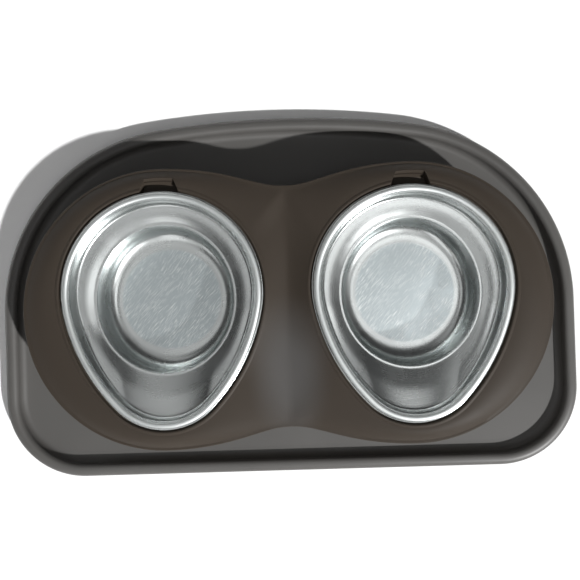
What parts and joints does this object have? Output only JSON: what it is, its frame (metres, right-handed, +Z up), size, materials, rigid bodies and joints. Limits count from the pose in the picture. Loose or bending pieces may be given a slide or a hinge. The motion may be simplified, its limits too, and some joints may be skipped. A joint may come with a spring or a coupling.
{
  "type": "double pet bowl",
  "caption": "Low double pet diner: egg-shaped steel bowls with a ramp and a round well, lifted out of a raised peanut-shaped stand in a D-shaped spill tray.",
  "frame": {"origin": "on the ground under the middle of the tray's width and depth", "axes": "+X to the right along the two bowls, +Y from the flat front to the arched back, +Z up"},
  "size_m": [0.4, 0.2476, 0.05],
  "materials": {
    "tray_plastic": "satin warm grey moulding",
    "stand_plastic": "satin dark brown moulding",
    "bowl_steel": "pressed stainless steel, fine scratches in the well",
    "foot_rubber": "matt"
  },
  "bodies": {
    "tray_base": {"tray": "tray_plastic", "foot_front_left": "foot_rubber", "foot_front_right": "foot_rubber", "foot_back_left": "foot_rubber", "foot_back_right": "foot_rubber"},
    "stand": {"stand": "stand_plastic"},
    "bowl_left": {"bowl_left": "bowl_steel"},
    "bowl_right": {"bowl_right": "bowl_steel"}
  },
  "joints": [
    {"name": "stand_lift", "type": "slide", "parent": "tray_base", "child": "stand", "axis": [0, 0, 1], "range_m": [0, 0.04]},
    {"name": "bowl_left_lift", "type": "slide", "parent": "stand", "child": "bowl_left", "axis": [0, 0, 1], "range_m": [0, 0.06]},
    {"name": "bowl_right_lift", "type": "slide", "parent": "stand", "child": "bowl_right", "axis": [0, 0, 1], "range_m": [0, 0.06]}
  ]
}
